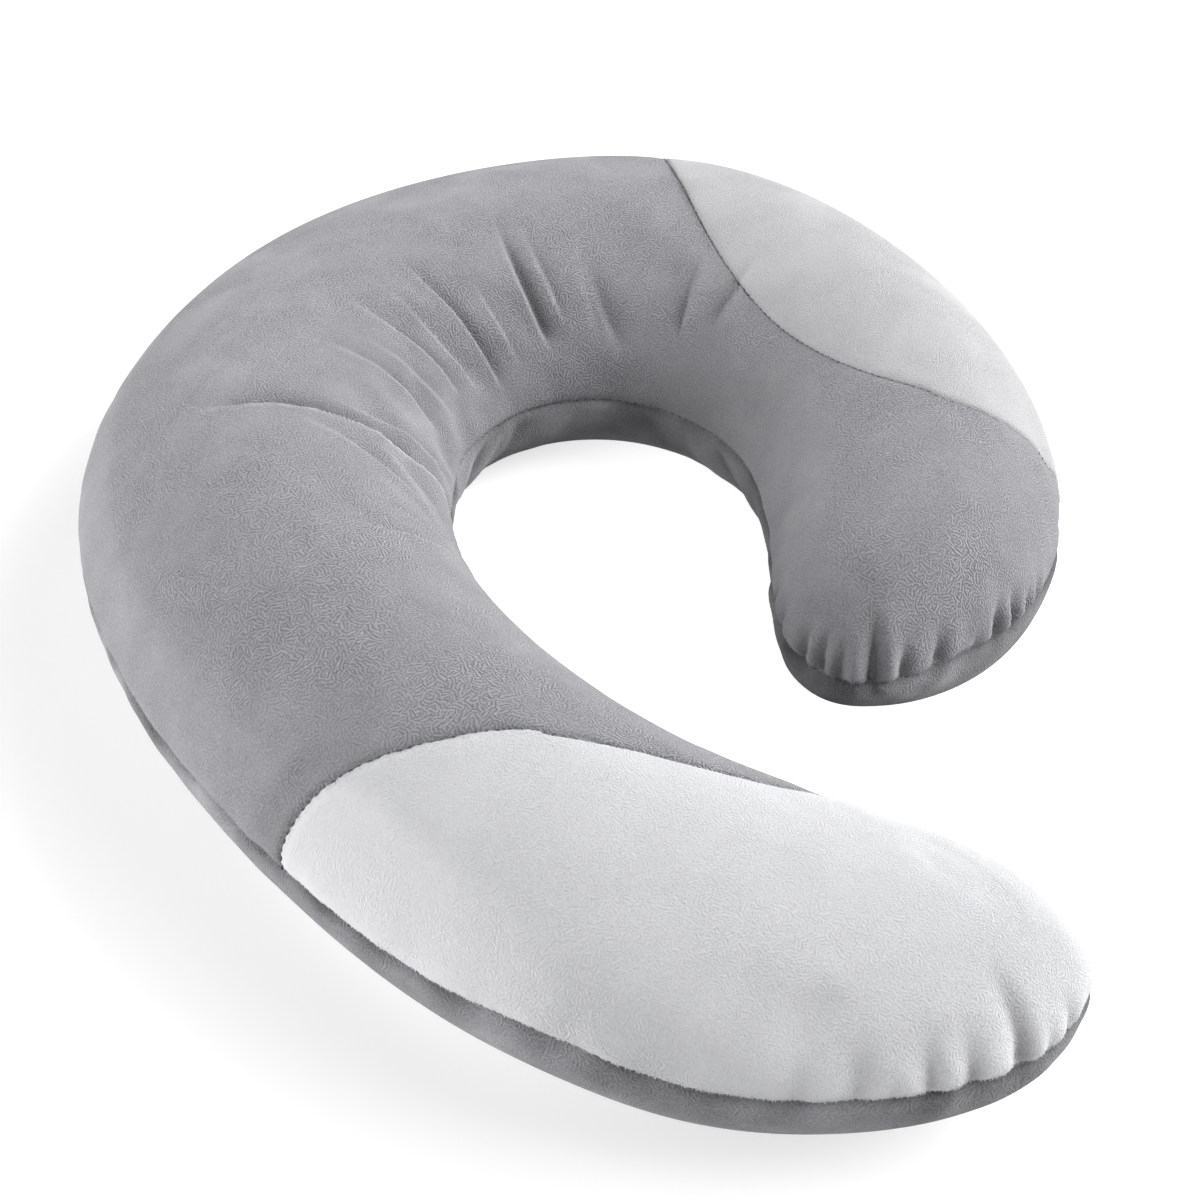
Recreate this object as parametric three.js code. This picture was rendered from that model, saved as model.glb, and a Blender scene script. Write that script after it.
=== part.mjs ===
// A U-shaped pet pillow of short plush: a firmly stuffed body with a dark base panel, and three top
// panels sewn over it, one dark and two light.
//
// Millimetres, +Z up. The origin is on the surface that the pillow rests on, under the middle of
// its bounding box. +Y is its longest extent. The U opens towards +X: the long near arm ends at
// -Y, and the far arm at +Y is shorter and curls inwards.
//
// Two numbers place a point on the pillow. "along" counts the sections of the table below, from 0
// at the end of the near arm to 16 at the end of the far arm. "across" runs from 0 at the inner
// seam to 1 at the outer seam, over the top or under the base.

import * as THREE from 'three';

// Cloth

const CLOTH = 2; // thickness of the plush with its backing
const GAP = 0.3; // clearance between pieces that lie on each other
const SEAM_CLEARANCE = 0.2; // how far each top panel stays back from a seam that two of them share

// Section

const SEAM_HEIGHT = 35; // the seam between the top panels and the base panel
const END_HALF_WIDTH = 51; // half width below which an arm's end loses its height
const TOP_ROUNDNESS = 1.63; // exponent of the upper section: 2 is an ellipse, less is pointed
const BASE_ROUNDNESS = 2.35; // the base is squarer, pressed out by the pillow's weight
const TOP_FULLNESS = 0.93; // below 1, an arm's end is blunter than an ellipsoid
const BASE_FULLNESS = 1.15; // above 1, it is sharper
const PRESSED = 8; // how much of the base is pressed flat against the surface

// One row for each section across the pillow: where the outer and the inner seam are drawn to in
// plan, and the height of the crown. A smooth curve runs near these points, not through them.
const SECTIONS = [
  { outer: [184, -194], inner: [184, -194], crown: 72 },
  { outer: [179, -216], inner: [174, -174], crown: 70 },
  { outer: [156, -237], inner: [156, -159], crown: 71 },
  { outer: [115, -250], inner: [109, -144], crown: 77 },
  { outer: [70, -252], inner: [71, -135], crown: 83 },
  { outer: [8, -231], inner: [25, -105], crown: 88 },
  { outer: [-63, -181], inner: [-14, -64], crown: 91 },
  { outer: [-132, -111], inner: [-36, -19], crown: 93 },
  { outer: [-189, -10], inner: [-42, 28], crown: 93 },
  { outer: [-178, 148], inner: [-24, 64], crown: 89 },
  { outer: [-79, 242], inner: [7, 77], crown: 91 },
  { outer: [46, 265], inner: [39, 68], crown: 94 },
  { outer: [154, 149], inner: [69, 39], crown: 96 },
  { outer: [187, 46], inner: [80, -14], crown: 95 },
  { outer: [177, -32], inner: [82, -45], crown: 94 },
  { outer: [152, -59], inner: [91, -76], crown: 93 },
  { outer: [119, -91], inner: [119, -91], crown: 93 },
];
const LAST = SECTIONS.length - 1;

// Seams in the top

// The seam of the light panel on the near arm, from the inner seam to the outer seam.
const NEAR_ARM_SEAM = [
  { along: 2.7, across: 0 },
  { along: 3.1, across: 0.13 },
  { along: 3.7, across: 0.31 },
  { along: 4.5, across: 0.43 },
  { along: 5.2, across: 0.59 },
  { along: 5.65, across: 0.76 },
  { along: 5.75, across: 0.9 },
  { along: 5.75, across: 1 },
];

// The seam of the light crescent on the far arm. It leaves the outer seam at the back of the U,
// climbs over the crown, and comes down again near the arm's end.
const FAR_ARM_SEAM = [
  { along: 10.4, across: 1 },
  { along: 10.55, across: 0.85 },
  { along: 10.7, across: 0.6 },
  { along: 10.85, across: 0.4 },
  { along: 11.5, across: 0.26 },
  { along: 12.3, across: 0.28 },
  { along: 13.05, across: 0.43 },
  { along: 13.28, across: 0.65 },
  { along: 13.28, across: 0.85 },
  { along: 13.3, across: 1 },
];

// Folds

// One row for each fold, with its end nearest to a seam (x, y), the way it runs from there in
// degrees from +X, its length, the half width of its slope, how far it bows to the left, and its
// rise, which is negative for a trough.
const FOLDS = [
  { x: -40, y: -28, heading: 178, length: 76, width: 7, bow: -4, rise: 3.6 },
  { x: -38, y: -16, heading: 178, length: 72, width: 7, bow: -4, rise: -3.8 },
  { x: -46, y: 14, heading: 178, length: 46, width: 6, bow: 0, rise: -2 },
  { x: -44, y: 38, heading: 163, length: 44, width: 6, bow: 0, rise: -2.4 },
  { x: -32, y: 54, heading: 148, length: 54, width: 7, bow: 0, rise: -3 },
  { x: -16, y: 74, heading: 124, length: 52, width: 7, bow: 0, rise: -3.6 },
  { x: 12, y: 81, heading: 118, length: 36, width: 6, bow: 0, rise: -2.4 },
  { x: 42, y: 78, heading: 64, length: 30, width: 7, bow: 0, rise: -1.8 },
  { x: -22, y: -66, heading: 204, length: 40, width: 7, bow: 0, rise: -1.8 },
];

// One row for each pucker at an arm's end, where the cloth is gathered into the seam.
const PUCKERS = [
  { x: 97, y: -79, heading: 100, length: 26, width: 5, rise: -2.2 },
  { x: 109, y: -87, heading: 98, length: 26, width: 5, rise: -2.4 },
  { x: 121, y: -90, heading: 98, length: 32, width: 5, rise: -3.2 },
  { x: 136, y: -81, heading: 112, length: 28, width: 5, rise: -2.2 },
  { x: 149, y: -68, heading: 125, length: 28, width: 5, rise: -2.6 },
  { x: 161, y: -53, heading: 130, length: 26, width: 5, rise: -2.6 },
  { x: 118, y: -249, heading: 94, length: 22, width: 6, rise: -1.6 },
  { x: 137, y: -244, heading: 102, length: 24, width: 6, rise: -1.8 },
  { x: 154, y: -236, heading: 116, length: 26, width: 6, rise: -2.2 },
  { x: 168, y: -225, heading: 128, length: 34, width: 6, rise: -3.2 },
  { x: 179, y: -209, heading: 148, length: 22, width: 5, rise: -2 },
];

// Facets

const NEAR_COLUMNS = 26;
const BACK_COLUMNS = 44;
const CRESCENT_COLUMNS = 28;
const END_COLUMNS = 18;
const TOP_ROWS = 14;
const CRESCENT_ROWS = 8;
const BASE_ROWS = 14;

// Curves

const mix = (a, b, k) => a + (b - a) * k;

// A uniform cubic B-spline near the points of a list, at a position counted in points.
function splineNear(pointAt, position) {
  const start = Math.floor(position);
  const f = position - start;
  const weights = [
    (1 - f) ** 3 / 6,
    (3 * f ** 3 - 6 * f * f + 4) / 6,
    (-3 * f ** 3 + 3 * f * f + 3 * f + 1) / 6,
    f ** 3 / 6,
  ];
  return pointAt(start).map((_, axis) =>
    weights.reduce((sum, weight, k) => sum + weight * pointAt(start - 1 + k)[axis], 0));
}

// The outline is one closed loop: out along the outer seam and back along the inner seam.
const OUTLINE = [
  ...SECTIONS.map(({ outer, crown }) => [...outer, crown]),
  ...SECTIONS.slice(1, -1).reverse().map(({ inner, crown }) => [...inner, crown]),
];
const outlineAt = (position) =>
  splineNear((k) => OUTLINE[(k + OUTLINE.length) % OUTLINE.length], position);

// A seam in the top, from 0 to 1 along its length. It passes through its first and last points.
function seamAt(seam, k) {
  const last = seam.length - 1;
  const pointAt = (row) => {
    const { along, across } = seam[THREE.MathUtils.clamp(row, 0, last)];
    return [along, across];
  };
  // Beyond each end the seam runs on straight.
  const extended = (row) => {
    const end = pointAt(row);
    const inside = pointAt(row < 0 ? 1 : last - 1);
    return row < 0 || row > last ? end.map((value, axis) => 2 * value - inside[axis]) : end;
  };
  return k === 0 || k === 1 ? pointAt(k * last) : splineNear(extended, k * last);
}

// Stuffed form

// A point on the smooth body, on the top (side 1) or on the base (side -1). Each section is a
// superellipse between the two seams. It loses height where it is narrow, which rounds the ends.
function bodyAt(along, across, side) {
  const [outerX, outerY, crown] = outlineAt(along);
  const [innerX, innerY] = outlineAt((2 * LAST - along) % (2 * LAST));
  const half = [(outerX - innerX) / 2, (outerY - innerY) / 2];
  const halfWidth = Math.hypot(...half);
  const fullness = (1 + (END_HALF_WIDTH / halfWidth) ** 4) ** -0.25;
  const power = 2 / (side > 0 ? TOP_ROUNDNESS : BASE_ROUNDNESS);
  const angle = Math.PI * (1 - across);
  const outward = Math.sign(Math.cos(angle)) * Math.abs(Math.cos(angle)) ** power;
  const swell = Math.abs(Math.sin(angle)) ** power;
  const z = side > 0
    ? SEAM_HEIGHT + (crown - SEAM_HEIGHT) * fullness ** TOP_FULLNESS * swell
    : Math.max(0, SEAM_HEIGHT - (SEAM_HEIGHT + PRESSED) * fullness ** BASE_FULLNESS * swell);
  return new THREE.Vector3(
    (outerX + innerX) / 2 + half[0] * outward,
    (outerY + innerY) / 2 + half[1] * outward,
    z,
  );
}

const onOutline = (along, across) =>
  across === 0 || across === 1 || along === 0 || along === LAST;

// The direction that faces out of the smooth body. It is level along the seam of the outline.
function outwardAt(along, across, side) {
  const step = 0.02;
  if (along < step || along > LAST - step) {
    const end = along < step ? 0 : LAST;
    const inside = Math.abs(end - 5 * step);
    return bodyAt(end, 0, 1).sub(bodyAt(inside, 0, 1).add(bodyAt(inside, 1, 1)).divideScalar(2))
      .setZ(0).normalize();
  }
  const forward = bodyAt(along + step, across, side).sub(bodyAt(along - step, across, side));
  const over = bodyAt(along, Math.min(across + step, 1), side)
    .sub(bodyAt(along, Math.max(across - step, 0), side));
  const outward = forward.cross(over).multiplyScalar(side);
  if (onOutline(along, across)) {
    outward.setZ(0);
  }
  return outward.normalize();
}

// How far the cloth rises or sinks at a place in plan, from all folds and puckers.
function foldAt(x, y) {
  let rise = 0;
  for (const fold of [...FOLDS, ...PUCKERS]) {
    const heading = THREE.MathUtils.degToRad(fold.heading);
    const forward = (x - fold.x) * Math.cos(heading) + (y - fold.y) * Math.sin(heading);
    const left = (y - fold.y) * Math.cos(heading) - (x - fold.x) * Math.sin(heading);
    const run = THREE.MathUtils.clamp(forward / fold.length, 0, 1);
    const bow = (fold.bow ?? 0) * 4 * run * (1 - run);
    const fade = 1 - THREE.MathUtils.smoothstep(forward / fold.length, 0.3, 1);
    const start = THREE.MathUtils.smoothstep(forward, -12, -2);
    rise += fold.rise * fade * start * Math.exp(-(((left - bow) / fold.width) ** 2));
  }
  return rise;
}

// A point of the top, a depth below the cloth's face.
function topAt([along, across], depth) {
  const point = bodyAt(along, across, 1);
  const outward = outwardAt(along, across, 1);
  return point.addScaledVector(outward, foldAt(point.x, point.y) - depth);
}

// A point of the base. The folds die out towards the flat underside.
function baseAt(along, across) {
  const point = bodyAt(along, across, -1);
  const outward = outwardAt(along, across, onOutline(along, across) ? 1 : -1);
  return point.addScaledVector(outward, foldAt(point.x, point.y) * (point.z / SEAM_HEIGHT));
}

// Panels in plan

// Each function gives [along, across] at column k and row m, which both run from 0 to 1.

// The crescent takes this stretch of the outer seam. The facets beside it spread out over a longer
// stretch of the inner seam, so that none of them crosses its curved edge.
const CRESCENT_OUTER = [FAR_ARM_SEAM[0].along, FAR_ARM_SEAM.at(-1).along];
const CRESCENT_INNER = [9.8, 14.2];

function nearArmPlan(k, m) {
  const [along, across] = seamAt(NEAR_ARM_SEAM, m);
  return [along * k, across];
}

function backPlan(k, m) {
  const [along, across] = seamAt(NEAR_ARM_SEAM, m);
  return [mix(along, mix(CRESCENT_INNER[0], CRESCENT_OUTER[0], m), k), mix(across, m, k)];
}

function besideCrescentPlan(k, m) {
  const [along, across] = seamAt(FAR_ARM_SEAM, k);
  return [mix(mix(...CRESCENT_INNER, k), along, m), across * m];
}

function farEndPlan(k, m) {
  return [mix(mix(CRESCENT_INNER[1], CRESCENT_OUTER[1], m), LAST, k), m];
}

function crescentPlan(k, m) {
  const [along, across] = seamAt(FAR_ARM_SEAM, k);
  return [mix(along, mix(...CRESCENT_OUTER, k), m), mix(across, 1, m)];
}

// The base spans the seams where the tops of the same columns meet them.
const basePlan = (plan) => (k, m) => [mix(plan(k, 0)[0], plan(k, 1)[0], m), m];

function baseUnderCrescentPlan(k, m) {
  return [mix(mix(...CRESCENT_INNER, k), mix(...CRESCENT_OUTER, k), m), m];
}

// The dark top panel is three of these plans in a row, each with its own number of columns.
const DARK_PARTS = [
  { plan: backPlan, columns: BACK_COLUMNS },
  { plan: besideCrescentPlan, columns: CRESCENT_COLUMNS },
  { plan: farEndPlan, columns: END_COLUMNS },
];

const NEAR_PART = [{ plan: nearArmPlan, columns: NEAR_COLUMNS }];
const CRESCENT_PART = [{ plan: crescentPlan, columns: CRESCENT_COLUMNS }];

// Grids of points

// A grid is a list of columns, and each column a list of points.
function gridOf(parts, rows, pointAt) {
  const grid = [];
  for (const { plan, columns } of parts) {
    for (let column = grid.length ? 1 : 0; column <= columns; column += 1) {
      grid.push(Array.from({ length: rows + 1 }, (_, row) =>
        pointAt(plan(column / columns, row / rows))));
    }
  }
  return grid;
}

// Draws a line of points in, square to the line, towards the line beside it.
function drawIn(line, beside) {
  const drawn = line.map((point, k) => {
    const way = line[Math.min(k + 1, line.length - 1)].clone().sub(line[Math.max(k - 1, 0)]);
    const inside = beside[k].clone().sub(point);
    inside.addScaledVector(way, -inside.dot(way) / way.lengthSq());
    return inside.setLength(SEAM_CLEARANCE);
  });
  drawn.forEach((move, k) => line[k].add(move));
}

// The cloth's face or back, drawn in where it meets another top panel: at its first column, its
// last column, or a run of its first or last row.
function clothGrid(parts, rows, depth, meets) {
  const grid = gridOf(parts, rows, (place) => topAt(place, depth));
  const run = (row) => grid.slice(...meets.columns).map((column) => column.at(row));
  if (meets.side === 'start') {
    drawIn(grid[0], grid[1]);
  }
  if (meets.side === 'end') {
    drawIn(grid.at(-1), grid.at(-2));
  }
  if (meets.row === 'first') {
    drawIn(run(0), run(1));
  }
  if (meets.row === 'last') {
    drawIn(run(-1), run(-2));
  }
  return grid;
}

// Closed meshes

// Collects faces between grid points, merges equal points and drops faces of no area.
class Sewing {
  constructor() {
    this.points = [];
    this.known = new Map();
    this.faces = [];
  }

  pointIndex(point) {
    const key = point.toArray().map((value) => Math.round(value * 1e4)).join();
    if (!this.known.has(key)) {
      this.known.set(key, this.points.length);
      this.points.push(point);
    }
    return this.known.get(key);
  }

  triangle(a, b, c) {
    const corners = [a, b, c].map((point) => this.pointIndex(point));
    if (new Set(corners).size === 3) {
      this.faces.push(corners);
    }
  }

  // Both windings split the same way, so that the cloth's back follows its face.
  quad(a, b, c, d, flipped) {
    this.triangle(...(flipped ? [a, c, b] : [a, b, c]));
    this.triangle(...(flipped ? [a, d, c] : [a, c, d]));
  }

  // Joins each pair of neighbouring columns. Flipped turns the faces round.
  surface(grid, flipped = false) {
    for (let column = 1; column < grid.length; column += 1) {
      this.strip(grid[column - 1], grid[column], flipped);
    }
  }

  // Joins two lines of points with the same number of points.
  strip(first, second, flipped = false) {
    for (let row = 1; row < first.length; row += 1) {
      this.quad(first[row - 1], second[row - 1], second[row], first[row], flipped);
    }
  }

  geometry() {
    const geometry = new THREE.BufferGeometry();
    const values = this.points.flatMap((point) => point.toArray());
    geometry.setAttribute('position', new THREE.Float32BufferAttribute(values, 3));
    geometry.setIndex(this.faces.flat());
    geometry.computeVertexNormals();
    return geometry;
  }
}

const rowOf = (grid, row) => grid.map((column) => column.at(row));

// A panel is the cloth's face, its back, and the cut edges between them.
function panelGeometry(parts, rows, meets) {
  const face = clothGrid(parts, rows, 0, meets);
  const back = clothGrid(parts, rows, CLOTH, meets);
  const sewing = new Sewing();
  sewing.surface(face);
  sewing.surface(back, true);
  sewing.strip(rowOf(face, 0), rowOf(back, 0));
  sewing.strip(rowOf(back, -1), rowOf(face, -1));
  sewing.strip(back[0], face[0]);
  sewing.strip(face.at(-1), back.at(-1));
  return sewing.geometry();
}

// The filled body lies under the top panels, steps out at the seam to carry their edges, and shows
// its own cloth below.
function filledGeometry() {
  const belowEdge = (point, place) =>
    (onOutline(...place) ? point.setZ(SEAM_HEIGHT - GAP) : point);
  const under = (place) => belowEdge(topAt(place, CLOTH + GAP), place);
  const near = gridOf(NEAR_PART, TOP_ROWS, under);
  const dark = gridOf(DARK_PARTS, TOP_ROWS, under);
  const crescent = gridOf(CRESCENT_PART, CRESCENT_ROWS, under);

  const baseParts = [
    { plan: basePlan(nearArmPlan), columns: NEAR_COLUMNS },
    { plan: basePlan(backPlan), columns: BACK_COLUMNS },
    { plan: baseUnderCrescentPlan, columns: CRESCENT_COLUMNS },
    { plan: farEndPlan, columns: END_COLUMNS },
  ];
  const base = gridOf(baseParts, BASE_ROWS, (place) => belowEdge(baseAt(...place), place));

  // The step in: the crescent takes the dark panel's place on the outer seam.
  const innerEdge = [...rowOf(near, 0), ...rowOf(dark, 0).slice(1)];
  const darkOuter = rowOf(dark, -1);
  const outerEdge = [
    ...rowOf(near, -1),
    ...darkOuter.slice(1, BACK_COLUMNS),
    ...rowOf(crescent, -1),
    ...darkOuter.slice(BACK_COLUMNS + CRESCENT_COLUMNS + 1),
  ];

  const sewing = new Sewing();
  sewing.surface(near);
  sewing.surface(dark);
  sewing.surface(crescent);
  sewing.surface(base, true);
  sewing.strip(innerEdge, rowOf(base, 0));
  sewing.strip(rowOf(base, -1), outerEdge);
  return sewing.geometry();
}

// Materials

const darkPlush = new THREE.MeshStandardMaterial({ color: 0xa3a3a7, roughness: 0.95, metalness: 0 });
const basePlush = new THREE.MeshStandardMaterial({ color: 0x98989c, roughness: 0.95, metalness: 0 });
const lightPlush = new THREE.MeshStandardMaterial({ color: 0xdcdde0, roughness: 0.95, metalness: 0 });

// Pieces

function addPiece(group, name, geometry, material) {
  const mesh = new THREE.Mesh(geometry, material);
  mesh.name = name;
  group.add(mesh);
}

const pillow = new THREE.Group();
addPiece(pillow, 'filled_base', filledGeometry(), basePlush);

// The dark panel meets the light ones at its first column and along the crescent's seam.
addPiece(pillow, 'top_panel', panelGeometry(DARK_PARTS, TOP_ROWS, {
  side: 'start',
  row: 'last',
  columns: [BACK_COLUMNS + 1, BACK_COLUMNS + CRESCENT_COLUMNS],
}), darkPlush);

addPiece(pillow, 'near_arm_panel', panelGeometry(NEAR_PART, TOP_ROWS, {
  side: 'end',
}), lightPlush.clone());

addPiece(pillow, 'far_arm_panel', panelGeometry(CRESCENT_PART, CRESCENT_ROWS, {
  row: 'first',
  columns: [1, CRESCENT_COLUMNS],
}), lightPlush.clone());

export default pillow;
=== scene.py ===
import math

import bmesh
import bpy
import numpy as np
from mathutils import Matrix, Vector, kdtree


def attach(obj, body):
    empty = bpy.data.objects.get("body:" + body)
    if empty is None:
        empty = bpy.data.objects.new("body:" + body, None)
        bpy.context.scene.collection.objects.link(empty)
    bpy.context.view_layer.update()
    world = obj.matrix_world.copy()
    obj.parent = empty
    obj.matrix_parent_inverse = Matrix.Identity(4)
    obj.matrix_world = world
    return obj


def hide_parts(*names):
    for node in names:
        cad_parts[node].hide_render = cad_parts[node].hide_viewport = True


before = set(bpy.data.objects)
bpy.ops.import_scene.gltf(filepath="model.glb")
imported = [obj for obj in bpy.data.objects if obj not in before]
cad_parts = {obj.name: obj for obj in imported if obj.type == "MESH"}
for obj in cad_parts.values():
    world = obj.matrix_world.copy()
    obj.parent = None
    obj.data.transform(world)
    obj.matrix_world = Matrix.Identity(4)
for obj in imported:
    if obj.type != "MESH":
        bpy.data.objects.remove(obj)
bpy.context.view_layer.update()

MM = 0.001  # sizes below are in millimetres; Blender's meshes are in metres


# The room
# A white paper floor under the pillow, lit by large soft boxes, most of them low and at the sides.
# The camera looks down at 38 degrees from the side of the near arm.

CAMERA_AT = (104.4, -539.5, 420.5)
CAMERA_LOOKS_AT = (17.9, -8.3, 0)
CAMERA_ANGLE = 36.2
FLOOR_SIZE = 9000
GLOW_MIDDLE = (0.085, -0.045, 0)  # middle of the paper's painted glow, under the opening of the U, in metres, as the shader counts
GLOW_FALLS = (0.14, 0.2)  # nearest and furthest from the middle of the painted glow, in metres
GLOW_RISES = (0.5, 1.2)
GLOW, DIM_GLOW, FAR_GLOW = 1.0, 0.56, 1.06
PAPER = "#fbfbfb"
WALLS = "#fdfdfe"
LIGHT_FROM_BELOW, LIGHT_FROM_ABOVE = 0.15, 0.01
SOFT_BOX_SIZE, SOFT_BOX_AWAY = 1000, 1500


def linear(colour):
    """An sRGB hex colour as linear light."""
    parts = [int(colour[i:i + 2], 16) / 255 for i in (1, 3, 5)]
    return [c / 12.92 if c <= 0.04045 else ((c + 0.055) / 1.055) ** 2.4 for c in parts] + [1.0]


def add_node(tree, kind, inputs={}, **settings):
    """Adds a shader node with its settings. An input is a number, a colour or another output."""
    node = tree.nodes.new("ShaderNode" + kind)
    for name, value in settings.items():
        setattr(node, name, value)
    for name, value in inputs.items():
        if isinstance(value, bpy.types.NodeSocket):
            tree.links.new(value, node.inputs[name])
        else:
            node.inputs[name].default_value = value
    return node


def place(thing, name):
    thing = bpy.data.objects.new(name, thing)
    bpy.context.scene.collection.objects.link(thing)
    return thing


def aim(thing, at, towards):
    at, towards = Vector(at) * MM, Vector(towards) * MM
    thing.location = at
    thing.rotation_euler = (towards - at).to_track_quat("-Z", "Y").to_euler()


camera = place(bpy.data.cameras.new("camera"), "camera")
camera.data.angle = math.radians(CAMERA_ANGLE)
aim(camera, CAMERA_AT, CAMERA_LOOKS_AT)
bpy.context.scene.camera = camera
bpy.context.scene.view_settings.view_transform = "Standard"

# Matt paper with a painted glow, brightest under the opening of the U, that washes out the shadows there:
# only faint shadows show outside it and none inside. Far away it glows again, so that no edge shows.
paper = bpy.data.materials.new("white_paper")
paper.use_nodes = True
shader = paper.node_tree.nodes["Principled BSDF"]
shader.inputs["Base Color"].default_value = linear("#b4b4b4")
shader.inputs["Roughness"].default_value = 0.9
shader.inputs["Specular IOR Level"].default_value = 0.0
shader.inputs["Emission Color"].default_value = linear(PAPER)
where = add_node(paper.node_tree, "TexCoord").outputs["Object"]
from_glow_middle = add_node(paper.node_tree, "VectorMath", {0: where, 1: GLOW_MIDDLE}, operation="DISTANCE")
glows = []
for (start, end), before, after in ((GLOW_FALLS, GLOW, DIM_GLOW), (GLOW_RISES, 0.0, FAR_GLOW - DIM_GLOW)):
    glows.append(add_node(paper.node_tree, "MapRange", {
        "Value": from_glow_middle.outputs["Value"], "From Min": start, "From Max": end,
        "To Min": before, "To Max": after}, interpolation_type="SMOOTHSTEP"))
both = add_node(paper.node_tree, "Math", {0: glows[0].outputs[0], 1: glows[1].outputs[0]}, operation="ADD")
paper.node_tree.links.new(both.outputs[0], shader.inputs["Emission Strength"])

half = FLOOR_SIZE / 2 * MM
floor = bpy.data.meshes.new("floor")
square = [(x * half, y * half, 0) for x, y in ((-1, -1), (1, -1), (1, 1), (-1, 1))]
floor.from_pydata(square, [], [(0, 1, 2, 3)])
floor.materials.append(paper)
floor = place(floor, "floor")
floor.location.z = -0.3 * MM  # so that the pressed underside doesn't lie in it
floor.visible_diffuse = floor.visible_glossy = False

room = bpy.data.worlds.new("white_room")
room.use_nodes = True
bpy.context.scene.world = room
direction = add_node(room.node_tree, "TexCoord").outputs["Generated"]
height = add_node(room.node_tree, "SeparateXYZ", {0: direction}).outputs["Z"]
# The floor throws some light up at the pillow and the ceiling hardly any down. Seen straight, the
# room is white.
by_height = add_node(room.node_tree, "MapRange", {
    "Value": height, "From Min": -0.05, "From Max": 0.05,
    "To Min": LIGHT_FROM_BELOW, "To Max": LIGHT_FROM_ABOVE})
seen = add_node(room.node_tree, "LightPath").outputs["Is Camera Ray"]
level = add_node(room.node_tree, "Mix", {0: seen, 2: by_height.outputs[0], 3: 1.0})
room.node_tree.links.new(level.outputs[0], room.node_tree.nodes["Background"].inputs["Strength"])
room.node_tree.nodes["Background"].inputs["Color"].default_value = linear(WALLS)

# One row for each soft box: its name, its power in watts, and where it stands, as degrees round
# from the camera's side and degrees above the floor.
for name, power, round_from_front, above_floor in (
    ("right", 21.5, 90, 38),
    ("back_right", 26.0, 135, 38),
    ("front", 1.5, 0, 38),
    ("low_right", 20.5, 90, 12),
    ("low_left", 34.0, 270, 12),
    ("low_front_left", 19.0, 315, 12),
    ("low_front", 4.0, 0, 12),
):
    lamp = bpy.data.lights.new(name, "AREA")
    lamp.energy = power
    lamp.size = SOFT_BOX_SIZE * MM
    turn, rise = math.radians(round_from_front), math.radians(above_floor)
    level_away = SOFT_BOX_AWAY * math.cos(rise)
    at = (level_away * math.sin(turn), -level_away * math.cos(turn), SOFT_BOX_AWAY * math.sin(rise))
    aim(place(lamp, name), at, (0, 0, 0))


# The stuffed body and its base cloth
# Polyester fibre, firmly stuffed. One dark plush panel lies under it, turns up the sides and is
# sewn to the top panels 35 mm above the floor. The weight presses it flat underneath.

SEAM_HEIGHT = 35
END_HALF_WIDTH = 51  # half width below which an arm's end loses its height
TOP_ROUNDNESS, BASE_ROUNDNESS = 1.63, 2.35
TOP_FULLNESS, BASE_FULLNESS = 0.93, 1.15
PRESSED = 8  # how far the base would reach below the floor
SEAM_CLIMB = 3.3  # of the outer seam along the near arm,
CLIMB_AT, CLIMB_OVER = 4.45, 0.45  # its highest place and its reach, counted in sections

# One row for each section across the pillow, from the near arm's end to the far arm's end: the
# outer seam (x, y), the inner seam (x, y) and the height of the crown.
SECTIONS = [
    (184, -194, 184, -194, 72),
    (179, -216, 174, -174, 70),
    (156, -237, 156, -159, 71),
    (115, -250, 109, -144, 77),
    (70, -252, 71, -135, 83),
    (8, -231, 25, -105, 88),
    (-63, -181, -14, -64, 91),
    (-132, -111, -36, -19, 93),
    (-189, -10, -42, 28, 93),
    (-178, 148, -24, 64, 89),
    (-79, 242, 7, 77, 91),
    (46, 265, 39, 68, 94),
    (154, 149, 69, 39, 96),
    (187, 46, 80, -14, 95),
    (177, -32, 82, -45, 94),
    (152, -59, 91, -76, 93),
    (119, -91, 119, -91, 93),
]
LAST = len(SECTIONS) - 1
OUTLINE = np.array(
    [(x, y, crown) for x, y, _, _, crown in SECTIONS]
    + [(x, y, crown) for _, _, x, y, crown in SECTIONS[-2:0:-1]], float)


def spline(points, position):
    """A uniform cubic B-spline near the points, at positions counted in points."""
    start = np.floor(position).astype(int)
    f = (position - start)[..., None]
    weights = ((1 - f) ** 3, 3 * f ** 3 - 6 * f * f + 4, -3 * f ** 3 + 3 * f * f + 3 * f + 1, f ** 3)
    return sum(w / 6 * points[(start - 1 + k) % len(points)] for k, w in enumerate(weights))


def body_at(along, across, side):
    """The smooth body: along counts the sections, across runs from the inner seam, 0, to the outer
    seam, 1, over the top (side 1) or under the base (side -1)."""
    outer = spline(OUTLINE, along)
    inner = spline(OUTLINE, (2 * LAST - along) % (2 * LAST))
    half = (outer - inner)[..., :2] / 2
    half_width = np.maximum(np.hypot(half[..., 0], half[..., 1]), 1e-6)
    fullness = (1 + (END_HALF_WIDTH / half_width) ** 4) ** -0.25
    power = 2 / (TOP_ROUNDNESS if side > 0 else BASE_ROUNDNESS)
    angle = math.pi * (1 - across)
    outward = np.sign(np.cos(angle)) * np.abs(np.cos(angle)) ** power
    swell = np.abs(np.sin(angle)) ** power
    seam = SEAM_HEIGHT + SEAM_CLIMB * np.exp(-((along - CLIMB_AT) / CLIMB_OVER) ** 2) * across ** 3
    if side > 0:
        z = seam + (outer[..., 2] - seam) * fullness ** TOP_FULLNESS * swell
    else:
        z = np.maximum(0, seam - (seam + PRESSED) * fullness ** BASE_FULLNESS * swell)
    return np.concatenate([(outer + inner)[..., :2] / 2 + half * outward[..., None], z[..., None]], axis=-1)


def unit(vectors):
    return vectors / np.maximum(np.linalg.norm(vectors, axis=-1, keepdims=True), 1e-12)


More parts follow.
